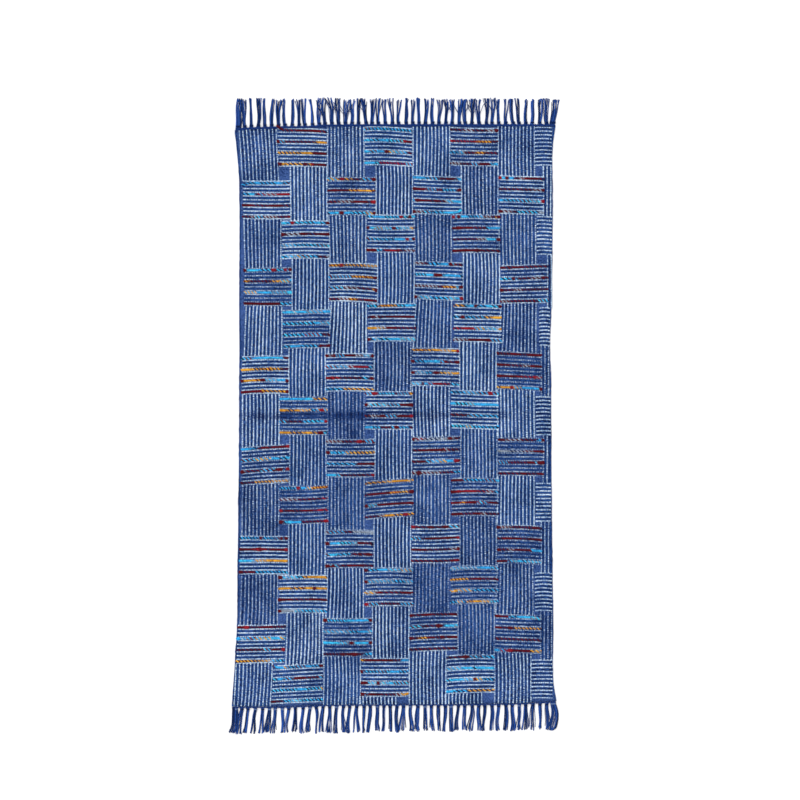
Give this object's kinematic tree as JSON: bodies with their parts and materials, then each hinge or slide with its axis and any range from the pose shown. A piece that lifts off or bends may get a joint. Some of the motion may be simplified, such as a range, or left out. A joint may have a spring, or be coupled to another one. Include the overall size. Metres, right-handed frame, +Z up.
{
  "type": "flatweave rug",
  "caption": "Flat woven cotton rug with a basketwork of striped blocks, raised twisted yarns and a knotted fringe at each end.",
  "frame": {"origin": "on the floor under the middle of the whole rug, fringes included", "axes": "+X across the rug, +Y along it towards the far fringe, +Z up out of its face"},
  "size_m": [0.7378, 1.425, 0.005],
  "materials": {
    "woven_cloth": "dull striped cotton weave in blue and off-white with multicoloured twisted yarns",
    "fringe_yarn": "dull deep blue cotton yarn"
  },
  "bodies": {
    "root": {"field": "woven_cloth", "fringe_far": "fringe_yarn", "fringe_near": "fringe_yarn"}
  },
  "joints": []
}
